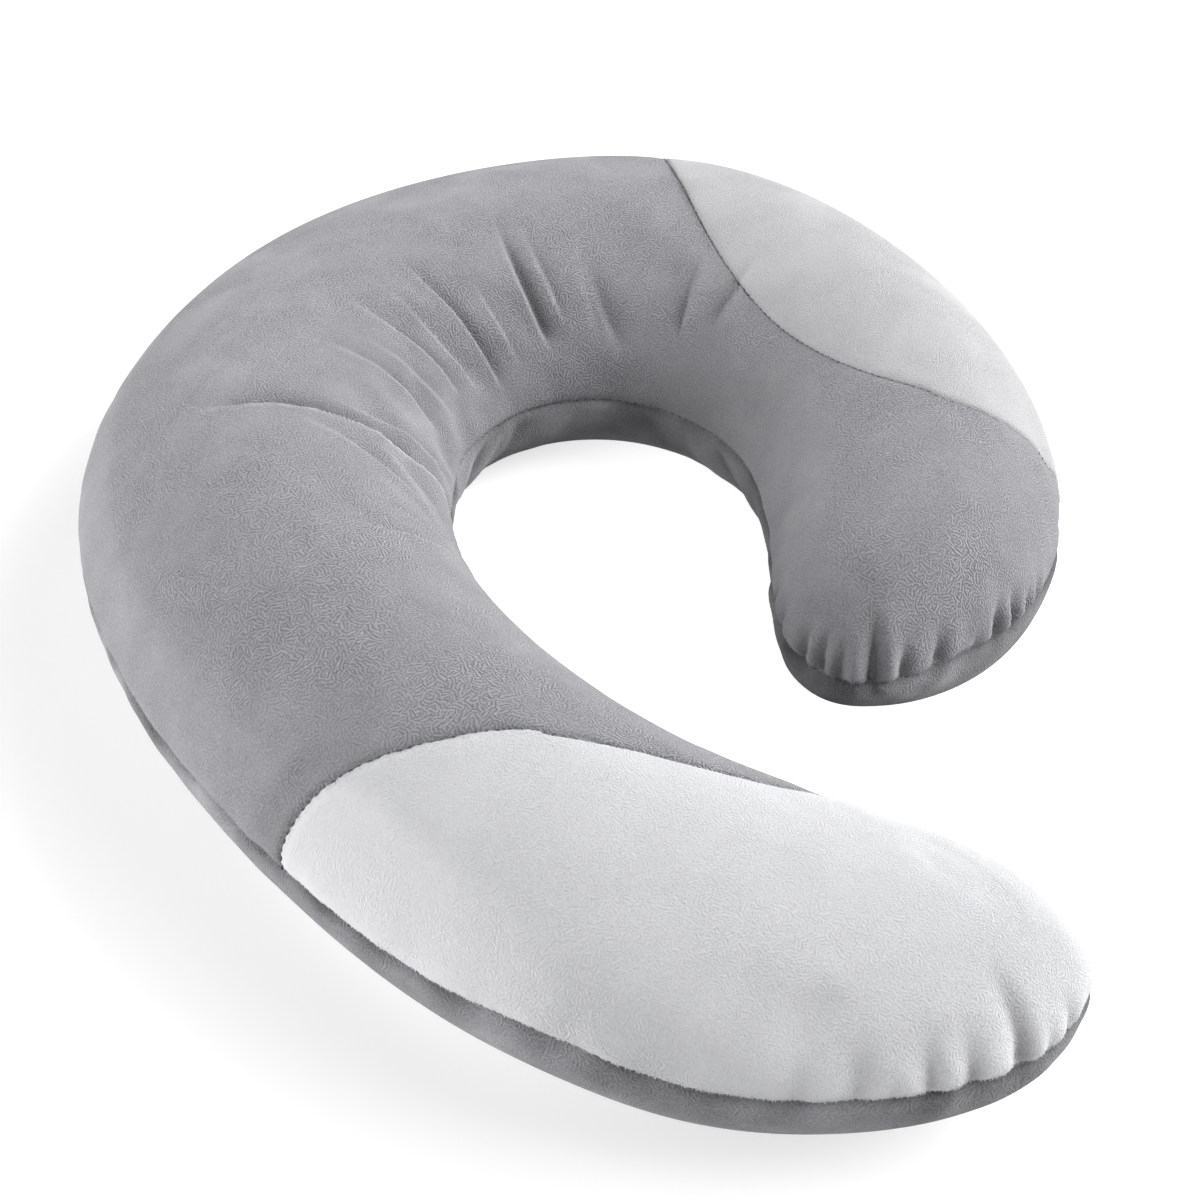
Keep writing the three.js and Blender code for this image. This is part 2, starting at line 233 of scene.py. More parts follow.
def outward_at(along, across, side):
    """The direction that faces out of the smooth body. It is level along the outline's seam."""
    step, seam_share = 0.02, 0.012
    inside = np.clip(along, step, LAST - step)
    outer, inner = np.minimum(across + step, 1), np.maximum(across - step, 0)
    over = body_at(inside, outer, side) - body_at(inside, inner, side)
    forward = body_at(inside + step, across, side) - body_at(inside - step, across, side)
    out = unit(np.cross(forward, over) * side)
    edge = np.maximum(0, 1 - np.minimum(across, 1 - across) / seam_share)[..., None]
    level = out * (1, 1, 0)
    return unit(out * (1 - edge) + level * edge)


# Folds in the cloth, one row each: where it starts (x, y), the way it runs in degrees from +X, its
# length, its bow to the left, how high the cloth stands to the left of it and to the right, the
# width of each side, and how wide the turn between them is.
FOLDS = [
    (-31, -19.5, 189, 95, 3.3, 4.2, -9.0, 5.6, 1.4),  # the main fold, with a sharp crest
    (-37, -2, 201, 46, 1, 2.2, -1.6, 3, 1.6),
    (-36, -44, 173, 60, -2, 1.2, -1.2, 4, 2.0),
    (-30, -35, 177, 34, -2, 0.8, -0.7, 3, 1.5),
    (-20, -57, 205, 28, 0, 0.9, -0.7, 2.5, 1.2),
    (-17, -66, 213, 46, 3, 1.4, -1.6, 3, 1.0),
    (-44, 17, 181, 50, 0, 1.6, -2.5, 4, 1.6),
    (-42, 29, 182, 42, 0, 1.3, -1.0, 3, 1.6),
    (-42, 39, 170, 52, 0, 1.9, -2.9, 4, 1.4),
    (-36, 47, 160, 50, 0, 1.3, -1.3, 3, 1.5),
    (-29, 56, 150, 60, 0, 2.3, -4.9, 3.9, 1.7),
    (-24, 66, 136, 42, 2, 1.3, -1.0, 3, 1.5),
    (-15, 76, 124, 60, 3, 2.3, -5.2, 3.9, 1.7),
    (-10, 84, 125, 52, 1, 1.5, -1.5, 4, 1.5),
    (3, 83, 112, 46, 2, 0.9, -1.3, 4, 2.0),
    (13, 80, 120, 44, 3, 1.1, -2.8, 4.5, 2.0),
    (34, 81, 80, 36, 0, -2.3, 1.5, 4, 1.5),
    (47, 80, 63, 36, 0, -2.5, 1.5, 4, 1.5),
    (-39, -180, 121, 256, 29.5, 2.2, 2.2, 9, 1.4),  # the shoulder of the filling, round the outside
]
FOLD_STARTS_OVER = 9
FOLD_FADES_FROM = 0.3  # share of its length

# Puckers where the arms' ends are gathered into the seam, one row each: where it meets the seam
# (x, y), its depth there, its reach over the cloth and its half width.
PUCKERS = [
    (83, -46, 1.4, 10, 2.2),
    (87, -59, 1.8, 13, 2.4),
    (95, -74, 2.2, 18, 2.4),
    (101, -80, 2.6, 20, 2.2),
    (108, -83, 2.0, 20, 2.2),
    (119, -84, 4.0, 28, 2.8),
    (129, -80, 2.2, 20, 2.4),
    (140, -71, 2.4, 20, 2.8),
    (152, -60, 1.0, 9, 2.0),
    (158, -52, 2.8, 18, 2.4),
    (163, -45, 3.0, 17, 2.0),
    (168, -37, 1.6, 13, 2.0),
    (172, -30, 1.6, 13, 2.0),
    (107, -249, 0.9, 18, 3.4),
    (122, -246, 1.1, 20, 3.4),
    (131, -244, 0.6, 11, 2.4),
    (141, -241, 1.6, 24, 3.0),
    (151, -237, 1.5, 20, 2.8),
    (163, -228, 2.7, 32, 3.4),
    (170, -222, 0.9, 15, 2.2),
    (176, -215, 1.1, 16, 2.4),
]


def ramp(value, low, high):
    k = np.clip((value - low) / (high - low), 0, 1)
    return k * k * (3 - 2 * k)


def fold_at(points):
    rise = np.zeros(points.shape[:-1])
    for x, y, heading, length, bow, at_left, at_right, width, turn in FOLDS:
        c, s = math.cos(math.radians(heading)), math.sin(math.radians(heading))
        forward = (points[..., 0] - x) * c + (points[..., 1] - y) * s
        left = (points[..., 1] - y) * c - (points[..., 0] - x) * s
        run = np.clip(forward / length, 0, 1)
        beside = left - bow * 4 * run * (1 - run)
        height = at_right + (at_left - at_right) * ramp(beside, -turn, turn)
        fade = (1 - ramp(run, FOLD_FADES_FROM, 1)) * ramp(forward, 0, FOLD_STARTS_OVER)
        rise += height * fade * np.exp(-(np.hypot(beside, turn) / width) ** 1.4)
    return rise


# The seams, as points 0.5 mm apart. The outline's seam runs right round the pillow.
# The panels' seams have one row for each place, as along and across the body.
NEAR_ARM_SEAM = [
    (2.73, 0), (3.11, 0.24), (3.7, 0.32), (4.51, 0.41),
    (5.18, 0.62), (5.61, 0.75), (5.77, 0.905), (5.76, 1),
]
FAR_ARM_SEAM = [
    (10.42, 1), (10.6, 0.86), (10.7, 0.6), (10.83, 0.375), (11.47, 0.26),
    (12.25, 0.285), (13.08, 0.43), (13.28, 0.65), (13.23, 0.865), (13.24, 1),
]
CRESCENT_OUTER = (10.42, 13.24)  # where its seam meets the outline's, along the outer side
CRESCENT_INNER = (9.8, 14.2)  # the places across from them on the inner side


def seam_at(seam, k):
    """Along and across at 0 to 1 of a seam's length."""
    rows = np.array(seam, float)
    first, last = rows[0] - rows[1], rows[-1] - rows[-2]
    before, after = [rows[0] + 2 * first, rows[0] + first], [rows[-1] + last, rows[-1] + 2 * last]
    rows = np.concatenate([before, rows, after])
    return np.moveaxis(spline(rows, k * (len(seam) - 1) + 2), -1, 0)


def evenly(line, pitch):
    """Rows at an even pitch along a line whose rows begin with x, y, z, and how far along each lies."""
    length = np.concatenate([[0], np.cumsum(np.linalg.norm(np.diff(line[:, :3], axis=0), axis=1))])
    count = max(2, int(round(length[-1] / pitch)))
    at = np.linspace(0, length[-1], count + 1)
    return np.stack([np.interp(at, length, column) for column in line.T], axis=1), at


def seam_line(along, across):
    """Points along a seam, each with the direction that faces out there."""
    points = body_at(along, across, 1)
    out = outward_at(along, across, 1)
    return np.concatenate([points + out * fold_at(points)[..., None], out], axis=1)


fine = np.linspace(0, 1, 6001)
out_and_back = np.concatenate([LAST * fine, LAST * (1 - fine[1:])])
SEAM_LINES = {
    "outline": evenly(seam_line(out_and_back, np.concatenate([fine * 0 + 1, fine[1:] * 0])), 0.5),
    "near_arm": evenly(seam_line(*seam_at(NEAR_ARM_SEAM, fine)), 0.5),
    "far_arm": evenly(seam_line(*seam_at(FAR_ARM_SEAM, fine)), 0.5),
}

# Where the sewing draws the cloth in: how deep the groove is, how wide its shoulder, and how the
# cloth is gathered beside it.
GROOVE = {"outline": (2.3, 1.3), "near_arm": (1.3, 0.9), "far_arm": (1.3, 0.9)}
STITCH = 3.2  # from one to the next
STITCH_DEPTH, STITCH_REACH = 0.25, 1.6
GATHER = {"outline": 0.55, "near_arm": 0.25, "far_arm": 0.25}
GATHER_REACH = 9

random = np.random.default_rng(11)


def wander(length, step):
    """A smooth random line: a value about every step of its length."""
    count = int(length / step) + 4
    values = random.normal(0, 1, count)
    return lambda at: spline(values[:, None], np.asarray(at) / length * (count - 4) + 1)[..., 0]


seam_wander = {}
seam_tree = kdtree.KDTree(sum(len(points) for points, _ in SEAM_LINES.values()))
seam_of, seam_place, seam_runs = [], [], []
for name, (rows, at) in SEAM_LINES.items():
    seam_wander[name] = (wander(at[-1], 7), wander(at[-1], 23), wander(at[-1], 4))
    seam_runs.append(unit(np.gradient(rows[:, :3], axis=0)))
    for point, s in zip(rows[:, :3], at):
        seam_tree.insert(point, len(seam_of))
        seam_of.append(name)
        seam_place.append(s)
seam_tree.balance()
seam_of, seam_place, seam_runs = np.array(seam_of), np.array(seam_place), np.concatenate(seam_runs)


OUTLINE_LENGTH = SEAM_LINES["outline"][1][-1]
PUCKERS_ALONG = [(seam_place[seam_tree.find((x, y, SEAM_HEIGHT))[1]], *rest) for x, y, *rest in PUCKERS]
PUCKER_DEPTH = 1.9  # in the middle of a pucker, for each mm in its row


def sewn_in(points, seams, puckered=1, gathered=1):
    """How far the sewing draws each point in, with the puckers and gathers beside it."""
    flat = points.reshape(-1, 3)
    found = [seam_tree.find(p) for p in flat]
    which = np.array([f[1] for f in found])
    away = np.array([f[2] for f in found])
    depth = np.zeros(len(flat))
    for name in seams:
        here = seam_of[which] == name
        s, d = seam_place[which[here]], away[here]
        deep, shoulder = GROOVE[name]
        short, long, edge = seam_wander[name]
        groove = deep * (1 + 0.12 * edge(s)) * np.exp(-d / shoulder)
        stitch = STITCH_DEPTH * np.cos(2 * math.pi * s / STITCH) * np.exp(-d / STITCH_REACH)
        gather = GATHER[name] * short(s) * (1 + 0.5 * long(s))
        gather = gather * np.exp(-d / GATHER_REACH) * (1 - np.exp(-d / 1.5))
        drawn = groove + stitch - gathered * gather
        if name == "outline":
            for at, pucker, reach, width in PUCKERS_ALONG:
                beside = (s - at + OUTLINE_LENGTH / 2) % OUTLINE_LENGTH - OUTLINE_LENGTH / 2
                reach = reach * puckered
                spread = width * (1 + 0.6 * d / reach)
                valley = np.exp(-np.abs(beside / spread) ** 1.7)
                valley -= 0.4 * np.exp(-(beside / (2.4 * spread)) ** 2)
                fade = (1 - ramp(d, 0.1 * reach, 1.1 * reach)) * (0.35 + 0.65 * ramp(d, 0, 4))
                drawn += PUCKER_DEPTH * puckered * pucker * valley * fade
        depth[here] = drawn
    return depth.reshape(points.shape[:-1])


# Pleats where the base cloth is pushed together inside the curve, one row each: where it meets the
# seam (x, y), how high it stands, its width, and how far it leans for each mm below the seam.
PLEATS = [
    (-40, 12, 0.6, 3.5, 0.5),
    (-37, 24, -0.8, 2.5, 0.6),
    (-34, 36, 0.9, 3.0, 0.8),
    (-31, 43, -1.2, 2.5, 0.8),
    (-27, 50, 0.9, 2.5, 0.8),
    (-20, 60, -0.9, 4.0, 0.6),
    (-8, 70, 0.8, 5.0, 0.4),
    (22, 74, -1.0, 5.0, -0.4),
    (42, 68, 0.8, 5.0, -0.5),
    (54, 56, -1.0, 4.0, -0.6),
    (62, 44, 0.7, 4.0, -0.6),
]


def pleats_at(points):
    found = [seam_tree.find(p) for p in points.reshape(-1, 3)]
    place = seam_place[[f[1] for f in found]]
    below = np.array([f[2] for f in found])
    rise = np.zeros(len(place))
    fade = ramp(below, 1, 7) * (1 - ramp(below, 20, 34))
    for x, y, height, width, lean in PLEATS:
        beside = place - seam_place[seam_tree.find((x, y, SEAM_HEIGHT))[1]] - lean * below
        rise += height * np.exp(-np.abs(beside / width) ** 1.6) * fade
    return rise.reshape(points.shape[:-1])


def painted_seam_shade_at(points):
    """Painted shade on the base cloth under its seam, where the roll above it shades it, in soft streaks
    that slant down from the seam, less painted light from the floor along its lower edge.
    """
    found = [seam_tree.find(p) for p in points.reshape(-1, 3)]
    below = np.array([f[2] for f in found])
    place = np.clip(seam_place[[f[1] for f in found]] - 0.4 * below, 0, OUTLINE_LENGTH)
    short, long, _ = seam_wander["outline"]
    painted_shading = (2.2 + 1.9 * long(place) + 2.1 * short(place)).reshape(points.shape[:-1])
    painted_floor_light = 2.6 * (1 - ramp(points[..., 2], 4, 22))  # painted light from the floor along the lower edge
    return painted_shading * ramp(points[..., 2], 12, 32) - painted_floor_light


def columns_along(count):
    """Sections spaced evenly along the middle of the pillow."""
    along = np.linspace(0, LAST, 2001)
    middle = body_at(along, along * 0 + 0.5, 1)
    length = np.concatenate([[0], np.cumsum(np.linalg.norm(np.diff(middle, axis=0), axis=1))])
    return np.interp(np.linspace(0, length[-1], count + 1), length, along)


EDGE_ROWS = np.array([0, 0.35, 0.75, 1.25, 1.9, 2.8, 4.0])  # distances from a seam, in mm


def rows_across(width, count):
    """Places from 0 to 1 across a panel of each width, closer together beside its two edges."""
    width = np.maximum(width, 0.5)[:, None]
    near = EDGE_ROWS / width * np.minimum(1, width / (4 * EDGE_ROWS[-1]))
    middle = np.linspace(0, 1, count + 1 - 2 * len(EDGE_ROWS) + 2)[1:-1]
    between = near[:, -1:] + (1 - 2 * near[:, -1:]) * middle
    return np.concatenate([near, between, 1 - near[:, ::-1]], axis=1)


def widths(points):
    return np.linalg.norm(np.diff(points, axis=1), axis=2).sum(axis=1)


def mesh_of_grids(name, grids, heights=None):
    """One smooth mesh from grids of points, each given with True where it faces the other way. The heights
    are kept at the corners as "height", for the painted shade and highlights on the pile."""
    points, faces, start = [], [], 0
    for grid, flipped in grids:
        columns, rows = grid.shape[:2]
        index = start + np.arange(columns * rows).reshape(columns, rows)
        quad = np.stack([index[:-1, :-1], index[1:, :-1], index[1:, 1:], index[:-1, 1:]], axis=-1)
        quad = quad.reshape(-1, 4)
        faces.append(quad[:, ::-1] if flipped else quad)
        points.append(grid.reshape(-1, 3) * MM)
        start += columns * rows
    points, faces = np.concatenate(points), np.concatenate(faces)
    mesh = bpy.data.meshes.new(name)
    mesh.from_pydata(points.tolist(), [], faces.tolist())
    if heights:
        kept = mesh.attributes.new("height", "FLOAT", "POINT")
        kept.data.foreach_set("value", np.concatenate([h.ravel() for h in heights]))
    shape = bmesh.new()
    shape.from_mesh(mesh)
    bmesh.ops.remove_doubles(shape, verts=shape.verts, dist=0.02 * MM)
    shape.to_mesh(mesh)
    shape.free()
    mesh.polygons.foreach_set("use_smooth", [True] * len(mesh.polygons))
    return mesh


# The stuffing swells the cloth between its seams. A copy of the smooth body, remeshed to even
# squares, is blown up as cloth with its seams and underside held. It is cut too full where it is
# gathered: round the inside of the curve and at the arms' ends. The folds that form there are
# carried over to the fine meshes below.
SQUARE = 5  # size of the squares
TOO_FULL = 0.045  # how much wider the gathered cloth is cut
MOST_SWELL = 5
PRESSURE, STEPS = 4, 20
GATHERED = [(-30, 20), (150, -215), (140, -65)]  # middles of the gathered places (x, y)
swell_tree, swells = None, None


def blow_up():
    along, across = np.meshgrid(columns_along(150), np.linspace(0, 1, 41), indexing="ij")
    blank = mesh_of_grids("blank", [(body_at(along, across, side), side > 0) for side in (-1, 1)])
    blank = place(blank, "blank")
    even = blank.modifiers.new("even_squares", "REMESH")
    even.mode, even.voxel_size = "VOXEL", SQUARE * MM
    remeshed = blank.evaluated_get(bpy.context.evaluated_depsgraph_get())
    pad = place(bpy.data.meshes.new_from_object(remeshed), "pad")
    start = corners(pad.data)
    away = np.array([seam_tree.find(p)[2] for p in start])
    low = (start[:, 2] - SEAM_HEIGHT) / 30
    curve, *ends = [np.exp(-np.sum((start[:, :2] - at) ** 2, axis=1) / 60 ** 2) for at in GATHERED]
    full = np.maximum(curve, np.maximum(*ends) * np.exp(-low ** 2))
    full = full * np.exp(-(away / 40) ** 2) * (start[:, 2] > 20)
    held, taut = pad.vertex_groups.new(name="held"), pad.vertex_groups.new(name="taut")
    for i in range(len(start)):
        taut.add([i], 1 - full[i], "REPLACE")
        if away[i] < 0.8 * SQUARE or start[i, 2] < 2:
            held.add([i], 1, "REPLACE")
    cloth = pad.modifiers.new("blown_up", "CLOTH").settings
    cloth.vertex_group_mass, cloth.vertex_group_shrink = "held", "taut"
    cloth.shrink_min, cloth.shrink_max = -TOO_FULL, 0
    cloth.use_pressure, cloth.uniform_pressure_force = True, PRESSURE
    cloth.effector_weights.gravity = 0
    cloth.quality, cloth.bending_stiffness = 6, 1
    for step in range(1, STEPS + 1):
        bpy.context.scene.frame_set(step)
    moved = corners(pad.evaluated_get(bpy.context.evaluated_depsgraph_get()).to_mesh()) - start
    far = np.linalg.norm(moved, axis=1, keepdims=True)
    moved *= np.minimum(1, MOST_SWELL / np.maximum(far, 1e-6))
    bpy.context.scene.frame_set(1)
    bpy.data.objects.remove(pad)
    bpy.data.objects.remove(blank)
    tree = kdtree.KDTree(len(start))
    for i, point in enumerate(start):
        tree.insert(point, i)
    tree.balance()
    return tree, moved


def corners(mesh):
    points = np.empty(len(mesh.vertices) * 3)
    mesh.vertices.foreach_get("co", points)
    return points.reshape(-1, 3) / MM


def swell_at(points):
    """How the blown-up cloth moves each point: an average over the eight nearest corners."""
    if swell_tree is None:
        return 0 * points
    near = [swell_tree.find_n(p, 8) for p in points.reshape(-1, 3)]
    which = np.array([[corner for _, corner, _ in found] for found in near])
    away = np.array([[distance for _, _, distance in found] for found in near])
    weights = np.exp(-(away / (0.8 * SQUARE)) ** 2) + 1e-9
    average = (swells[which] * weights[..., None]).sum(axis=1) / weights.sum(axis=1, keepdims=True)
    return average.reshape(points.shape)


swell_tree, swells = blow_up()

# Beside the seams the pile stands out and hangs over the stitching, as thin tufts.
TUFT_BAND = (0.4, 2.9)  # nearest to and furthest from the seam
TUFT_WIDTH = 0.36
TUFT_LENGTH = (0.35, 0.85)


def mix(a, b, k):
    return a + (b - a) * k


def pile_beside_seams(name, points, out, to_each_mm2):
    """Tufts on a grid of cloth: blades of two lengths that point at the seam and a little outwards."""
    corner = lambda grid: (grid[:-1, :-1], grid[1:, :-1], grid[:-1, 1:], grid[1:, 1:])
    cells, outs = ([part.reshape(-1, 3) for part in corner(grid)] for grid in (points, out))
    near = [seam_tree.find(p) for p in (cells[0] + cells[3]) / 2]
    away = np.array([f[2] for f in near])
    cell_area = np.linalg.norm(np.cross(cells[1] - cells[0], cells[2] - cells[0]), axis=1)
    beside = (away > TUFT_BAND[0]) & (away < TUFT_BAND[1])
    count = np.floor(cell_area * to_each_mm2 * beside + random.random(len(away))).astype(int) * beside
    pick = np.repeat(np.arange(len(away)), count)
    u, v = random.random((2, len(pick), 1))
    blend = lambda c: mix(mix(c[0][pick], c[1][pick], u), mix(c[2][pick], c[3][pick], u), v)
    root, up = blend(cells), unit(blend(outs))
    which = np.array([near[i][1] for i in pick])
    seam = np.array([near[i][0] for i in pick])
    run = seam_runs[which]
    towards = seam - root
    towards = unit(towards - up * (towards * up).sum(axis=1, keepdims=True))
    lean = random.normal(0, 0.35, (len(pick), 1))
    length = random.uniform(*TUFT_LENGTH, (len(pick), 1))
    way = unit(towards + 0.45 * up + lean * run)
    tip_way = unit(towards + 0.1 * up + 1.4 * lean * run)
    half = TUFT_WIDTH / 2 * run * random.uniform(0.7, 1.2, (len(pick), 1))
    root = root - 0.15 * up
    middle = root + 0.55 * length * way
    tip = middle + 0.6 * length * tip_way
    blade = np.stack([root - half, root + half, middle + 0.75 * half, middle - 0.75 * half, tip], axis=1)
    mesh = bpy.data.meshes.new(name)
    first = 5 * np.arange(len(pick))[:, None]
    faces = (first + (0, 1, 2, 3)).tolist() + (first + (3, 2, 4)).tolist()
    mesh.from_pydata((blade.reshape(-1, 3) * MM).tolist(), [], faces)
    piece = place(mesh, name)
    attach(piece, "root")
    return piece


BODY_COLUMNS = 600
BASE_ROWS = 84
HIDDEN_ROWS = 20
UNDER_CLOTH = 3.2  # how far the filling lies under the top cloths
BASE_PUCKERS, BASE_GATHERS = 0.3, 2.2  # against the top cloths'

along = columns_along(BODY_COLUMNS)[:, None]
coarse = np.linspace(0, 1, 60)[None]
base_width = widths(body_at(along + 0 * coarse, coarse + 0 * along, -1))
across = rows_across(base_width, BASE_ROWS)
along = along + 0 * across
base_points = body_at(along, across, -1)
base_out = outward_at(along, across, -1)
side_share = ramp(base_points[..., 2], 12, SEAM_HEIGHT)
swell_share = ramp(base_points[..., 2], 15, SEAM_HEIGHT)
pleats = pleats_at(base_points)
# Painted shading for the base, kept with its height: painted shade and highlight on the pleats at twice
# their height, the painted shade under the seam, and painted light along the lower edge.
painted_shading = 2 * pleats - painted_seam_shade_at(base_points)
drawn = sewn_in(base_points, ["outline"], BASE_PUCKERS, BASE_GATHERS)
base_height = (fold_at(base_points) - drawn) * side_share + pleats
base_points = (base_points + base_out * base_height[..., None]
               + swell_at(base_points) * swell_share[..., None])
base_points[..., 2] = np.maximum(base_points[..., 2], 0)

hidden = np.linspace(0, 1, HIDDEN_ROWS + 1)[None] + 0 * along[:, :1]
along = along[:, :1] + 0 * hidden
top_points = body_at(along, hidden, 1)
top_out = outward_at(along, hidden, 1)
hidden_height = fold_at(top_points) - UNDER_CLOTH
top_points = top_points + top_out * hidden_height[..., None] + swell_at(top_points)
top_points[:, 0], top_points[:, -1] = base_points[:, 0], base_points[:, -1]
top_points[0], top_points[-1] = base_points[0, 0], base_points[-1, 0]

body = mesh_of_grids(
    "filled_body", [(base_points, False), (top_points, True)], [base_height + painted_shading, 0 * hidden])
body = place(body, "filled_body")
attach(body, "root")
base_pile = pile_beside_seams("base_pile", base_points, base_out, 0.7)
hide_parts("filled_base")


def plush(name, face, hollow, pitch, embossed, sheen, mottled, painted_light_where_flat, steep):
    """Short-pile polyester plush, cut and then embossed with fine squiggles, pitch apart in mm. It is
    matt, with soft brushed patches, and the tips of the pile catch the light at a glancing angle."""
    material = bpy.data.materials.new(name)
    material.use_nodes = True
    tree = material.node_tree
    shader = tree.nodes["Principled BSDF"]
    where = add_node(tree, "TexCoord").outputs["Object"]
    normal = add_node(tree, "NewGeometry").outputs["Normal"]
    each_stroke = pitch * MM

    # Embossed squiggles: short strokes, side by side in patches two strokes and a half across that
    # each run their own way along the cloth. A second set of patches fills the borders of the first.
    wobble = add_node(tree, "TexNoise", {"Vector": where, "Scale": 0.6 / each_stroke, "Detail": 0})
    curled = add_node(tree, "VectorMath", {
        0: wobble.outputs["Color"], 1: (0.9 * each_stroke,) * 3, 2: where}, operation="MULTIPLY_ADD")
    sets = []
    for shift in (0.0, 0.0231):
        moved = add_node(tree, "VectorMath", {0: curled.outputs[0], 1: (shift,) * 3}, operation="ADD")
        patch = add_node(tree, "TexVoronoi", {"Vector": moved.outputs[0], "Scale": 0.45 / each_stroke})
        turned = add_node(tree, "VectorMath", {
            0: patch.outputs["Color"], 1: (0.5, 0.5, 0.5)}, operation="SUBTRACT")
        level = add_node(tree, "VectorMath", {0: turned.outputs[0], 1: normal}, operation="CROSS_PRODUCT")
        heading = add_node(tree, "VectorMath", {0: level.outputs[0]}, operation="NORMALIZE")
        from_middle = add_node(tree, "VectorMath", {
            0: moved.outputs[0], 1: patch.outputs["Position"]}, operation="SUBTRACT")
        reach = add_node(tree, "VectorMath", {
            0: from_middle.outputs[0], 1: heading.outputs[0]}, operation="DOT_PRODUCT")
        phase = add_node(tree, "Math", {
            0: reach.outputs["Value"], 1: 2 * math.pi / each_stroke}, operation="MULTIPLY")
        stroke = add_node(tree, "Math", {0: phase.outputs[0]}, operation="COSINE")
        sets.append((stroke.outputs[0], patch.outputs["Distance"]))
    border = add_node(tree, "MapRange", {"Value": sets[0][1], "From Min": 0.38, "From Max": 0.52})
    squiggle = add_node(tree, "Mix", {0: border.outputs[0], 2: sets[0][0], 3: sets[1][0]})

    # Brushed patches 20 to 40 mm across, where the squiggles are smoothed away.
    patches = add_node(tree, "TexNoise", {"Vector": where, "Scale": 34, "Detail": 1, "Roughness": 0.55})
    strength = add_node(tree, "MapRange", {
        "Value": patches.outputs["Fac"], "From Min": 0.35, "From Max": 0.55,
        "To Min": 0.45 * embossed, "To Max": embossed})

    # Down the steep side that faces the U's back and round the inside of the curve, where the cloth is
    # stretched, the pile lies flat and smoother. There the colour is also painted paler, as painted light.
    faces = add_node(tree, "SeparateXYZ", {0: normal})
    leaning = add_node(tree, "MapRange", {
        "Value": faces.outputs["Z"], "From Min": steep + 0.04, "From Max": steep - 0.04})
    outward = add_node(tree, "MapRange", {"Value": faces.outputs["X"], "From Min": -0.2, "From Max": -0.4})
    steeply = add_node(tree, "Math", {0: leaning.outputs[0], 1: outward.outputs[0]}, operation="MULTIPLY")
    from_curve = add_node(tree, "VectorMath", {0: where, 1: (-0.045, 0.005, 0.08)}, operation="DISTANCE")
    inside = add_node(tree, "MapRange", {
        "Value": from_curve.outputs["Value"], "From Min": 0.028, "From Max": 0.08,
        "To Min": 0.9, "To Max": 0.0})
    flat = add_node(tree, "Math", {0: steeply.outputs[0], 1: inside.outputs[0]}, operation="MAXIMUM")
    smoother = add_node(tree, "Math", {
        0: flat.outputs[0], 1: -0.5 * embossed, 2: strength.outputs[0]}, operation="MULTIPLY_ADD")

    # On the crests of folds, by the height kept at the corners, the squiggles are stretched away too.
    stands = add_node(tree, "Attribute", attribute_name="height").outputs["Fac"]
    stretched = add_node(tree, "MapRange", {
        "Value": stands, "From Min": 0.4, "From Max": 2.4, "To Min": 1.0, "To Max": 0.35})
    left = add_node(tree, "Math", {0: smoother.outputs[0], 1: stretched.outputs[0]}, operation="MULTIPLY")
    raised = add_node(tree, "Math", {0: squiggle.outputs[0], 1: left.outputs[0]}, operation="MULTIPLY")

    # The pile itself, drawn at 0.6 mm: real fibres are finer than the picture can show.
    pile = add_node(tree, "TexNoise", {"Vector": where, "Scale": 1700, "Detail": 0})
    height = add_node(tree, "Math", {
        0: pile.outputs["Fac"], 1: 2.0, 2: raised.outputs[0]}, operation="MULTIPLY_ADD")
    bump = add_node(tree, "Bump", {"Height": height.outputs[0], "Strength": 1.0, "Distance": 0.00013})

    # The tips of the pile are paler than the hollows between the strokes, and the cloth is mottled.
    mottle = add_node(tree, "TexNoise", {"Vector": where, "Scale": 60, "Detail": 3, "Roughness": 0.6})
    shade = add_node(tree, "Math", {
        0: mottle.outputs["Fac"], 1: mottled, 2: 0.22 - mottled / 2}, operation="MULTIPLY_ADD")
    # Painted light: paler where the pile lies flat, by the amount given for that.
    mottle_and_painted_light = add_node(tree, "Math", {
        0: flat.outputs[0], 1: painted_light_where_flat, 2: shade.outputs[0]}, operation="MULTIPLY_ADD")
    tone = add_node(tree, "Math", {
        0: height.outputs[0], 1: 0.28, 2: mottle_and_painted_light.outputs[0]}, operation="MULTIPLY_ADD")
    pale = add_node(tree, "Mix", {
        0: tone.outputs[0], 6: linear(hollow), 7: linear(face)}, data_type="RGBA")
    # Painted shade and highlight by the height kept at the corners: darker down in folds, seams and
    # puckers, paler on their crests.
    painted_fold_shade = add_node(tree, "MapRange", {
        "Value": stands, "From Min": -7.0, "From Max": 3.0, "To Min": 0.35, "To Max": 1.28})
    colour = add_node(tree, "Mix", {
        0: 1.0, 6: pale.outputs[2], 7: painted_fold_shade.outputs[0]}, data_type="RGBA", blend_type="MULTIPLY")

    tree.links.new(colour.outputs[2], shader.inputs["Base Color"])
    tree.links.new(bump.outputs[0], shader.inputs["Normal"])
    shader.inputs["Roughness"].default_value = 0.9
    shader.inputs["Diffuse Roughness"].default_value = 1.0
    shader.inputs["Specular IOR Level"].default_value = 0.1
    shader.inputs["Sheen Weight"].default_value = sheen
    shader.inputs["Sheen Roughness"].default_value = 0.45
    shader.inputs["Sheen Tint"].default_value = linear("#f4f5f8")
    return material


# The base's plush is coarser than the top's to the eye: mottled, with weaker squiggles. Round the inside of
# the curve its inner wall is painted paler, as painted light.
base_plush = plush(
    "dark_plush_base", face="#a9a9ac", hollow="#717174", pitch=1.15, embossed=0.6,
    sheen=0.13, mottled=1.0, painted_light_where_flat=0.6, steep=-2.0)
body.data.materials.append(base_plush)
base_pile.data.materials.append(base_plush)


# The dark top panel
# Grey plush over the back of the U, the inner side of the far arm and that arm's end. It is sewn
# to the base along the outline, and to the two light panels.

TOP_ROWS = 116


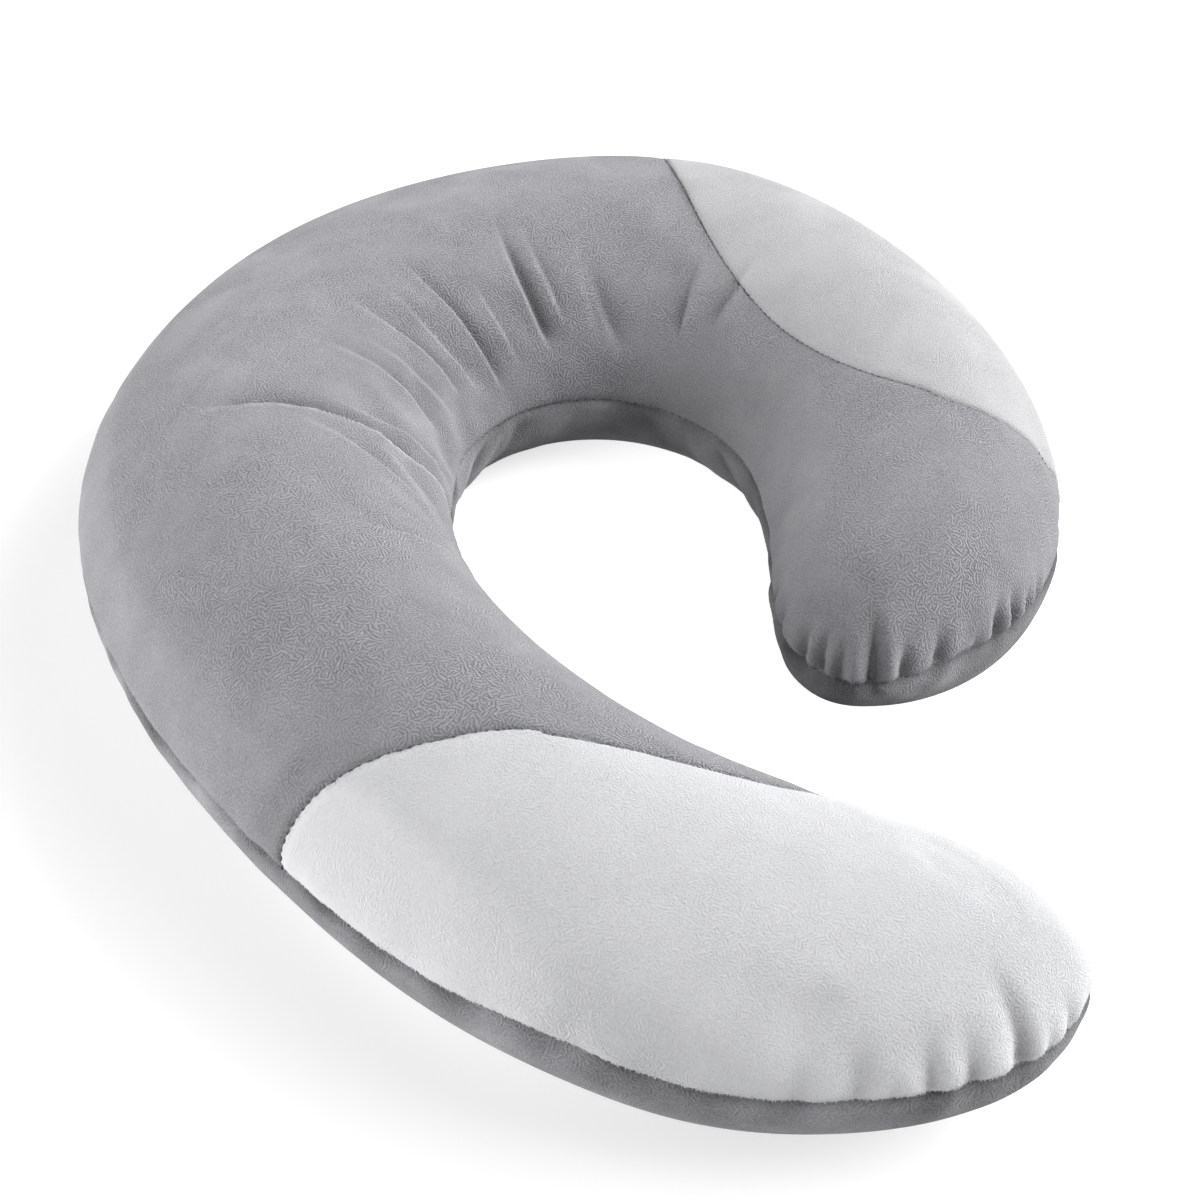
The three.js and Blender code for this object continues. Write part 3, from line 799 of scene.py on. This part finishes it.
def panel(name, parts, seams, material, rows):
    """A sheet of cloth over parts of the top, with its edges turned down into the seams, and the
    tufts of its pile beside them."""
    grids = []
    for plan, count in parts:
        k = np.linspace(0, 1, count + 1)[0 if not grids else 1:, None]
        m = np.linspace(0, 1, 60)[None]
        width = widths(body_at(*plan(k + 0 * m, m + 0 * k), 1))
        m = rows_across(width, rows)
        grids.append(np.stack(plan(k + 0 * m, m), axis=-1))
    plan = np.concatenate(grids)
    points = body_at(plan[..., 0], plan[..., 1], 1)
    out = outward_at(plan[..., 0], plan[..., 1], 1)
    rise = fold_at(points)
    height = rise - sewn_in(points + out * rise[..., None], seams)
    points = points + out * height[..., None] + swell_at(points)
    piece = place(mesh_of_grids(name, [(points, True)], [height]), name)
    piece.data.materials.append(material)
    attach(piece, "root")
    tufts = pile_beside_seams(name.replace("cloth", "pile"), points, out, 1.3)
    tufts.data.materials.append(material)
    return piece, tufts


def back_plan(k, m):
    along, across = seam_at(NEAR_ARM_SEAM, m)
    return mix(along, mix(CRESCENT_INNER[0], CRESCENT_OUTER[0], m), k), mix(across, m, k)


def beside_crescent_plan(k, m):
    along, across = seam_at(FAR_ARM_SEAM, k)
    return mix(mix(*CRESCENT_INNER, k), along, m), across * m


def far_end_plan(k, m):
    return mix(mix(CRESCENT_INNER[1], CRESCENT_OUTER[1], m), LAST, k), m


# Down its steep side towards the U's back, and round the inside of the curve, it is painted a little paler,
# as painted light.
dark_plush = plush(
    "dark_plush_top", face="#a6a6a9", hollow="#6c6c6f", pitch=1.15, embossed=1.0,
    sheen=0.1, mottled=0.4, painted_light_where_flat=0.06, steep=0.715)
top, top_pile = panel(
    "top_cloth", [(back_plan, 380), (beside_crescent_plan, 170), (far_end_plan, 110)],
    ["outline", "near_arm", "far_arm"], dark_plush, TOP_ROWS)
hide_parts("top_panel")


# The light panels
# Pale grey plush of the same make: one over the end of the near arm, and a crescent over the outer
# side of the far arm.


def near_arm_plan(k, m):
    along, across = seam_at(NEAR_ARM_SEAM, m)
    return along * k, across


def crescent_plan(k, m):
    along, across = seam_at(FAR_ARM_SEAM, k)
    return mix(along, mix(*CRESCENT_OUTER, k), m), mix(across, 1, m)


NEAR_ARM_ROWS, CRESCENT_ROWS = 110, 80
# Where it turns steeply down on the side towards the U's back, it is painted paler, as painted light.
light_plush = plush(
    "pale_grey_plush", face="#d4d4d6", hollow="#babbbd", pitch=0.95, embossed=0.5,
    sheen=0.03, mottled=0.4, painted_light_where_flat=0.6, steep=0.75)
near_arm, near_arm_pile = panel(
    "near_arm_cloth", [(near_arm_plan, 190)], ["outline", "near_arm"], light_plush, NEAR_ARM_ROWS)
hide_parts("near_arm_panel")

# On the crescent the same plush is a darker copy: painted shade against the strong light of the lamps on
# the right.
shaded_crescent_plush = plush(
    "pale_grey_plush_painted_darker", face="#bfbfc0", hollow="#a0a0a2", pitch=0.95, embossed=0.9,
    sheen=0.03, mottled=0.4, painted_light_where_flat=0.1, steep=0.75)
crescent, crescent_pile = panel(
    "far_arm_cloth", [(crescent_plan, 260)], ["outline", "far_arm"], shaded_crescent_plush, CRESCENT_ROWS)
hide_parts("far_arm_panel")


# The thread
# Dark polyester thread, sewn by machine along every seam. It shows as short dashes down in the
# seams, where the cloth parts.

THREAD = 0.34  # radius, thicker than real so that it shows
SHOWS = 2.0  # how much of each stitch shows, of the 3.2 mm from one to the next

grids = []
for name, (rows, at) in SEAM_LINES.items():
    sewn, _ = evenly(np.concatenate([rows, sewn_in(rows[:, :3], [name])[:, None]], axis=1), STITCH)
    middle, out = sewn[:, :3], unit(sewn[:, 3:6])
    run = unit(np.gradient(middle, axis=0))
    middle = middle + out * (0.35 - sewn[:, 6:])
    for at, n, t in zip(middle, out, run):
        k = np.linspace(-1, 1, 6)[:, None, None]
        turn = np.linspace(0, 2 * math.pi, 7)[None, :, None]
        thick = THREAD * np.sqrt(1 - k ** 4 * 0.999)
        around = np.cos(turn) * np.cross(t, n) + np.sin(turn) * n
        grids.append((at + k * SHOWS / 2 * t - 0.5 * k * k * n + thick * around, True))
thread = place(mesh_of_grids("seam_thread", grids), "seam_thread")
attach(thread, "root")
polyester = bpy.data.materials.new("dark_polyester_thread")
polyester.use_nodes = True
shader = polyester.node_tree.nodes["Principled BSDF"]
where = add_node(polyester.node_tree, "TexCoord").outputs["Object"]
twist = add_node(polyester.node_tree, "TexNoise", {"Vector": where, "Scale": 2500, "Detail": 0})
yarn = add_node(polyester.node_tree, "Mix", {
    0: twist.outputs["Fac"], 6: linear("#2c2c30"), 7: linear("#55555a")}, data_type="RGBA")
polyester.node_tree.links.new(yarn.outputs[2], shader.inputs["Base Color"])
shader.inputs["Roughness"].default_value = 0.55
thread.data.materials.append(polyester)
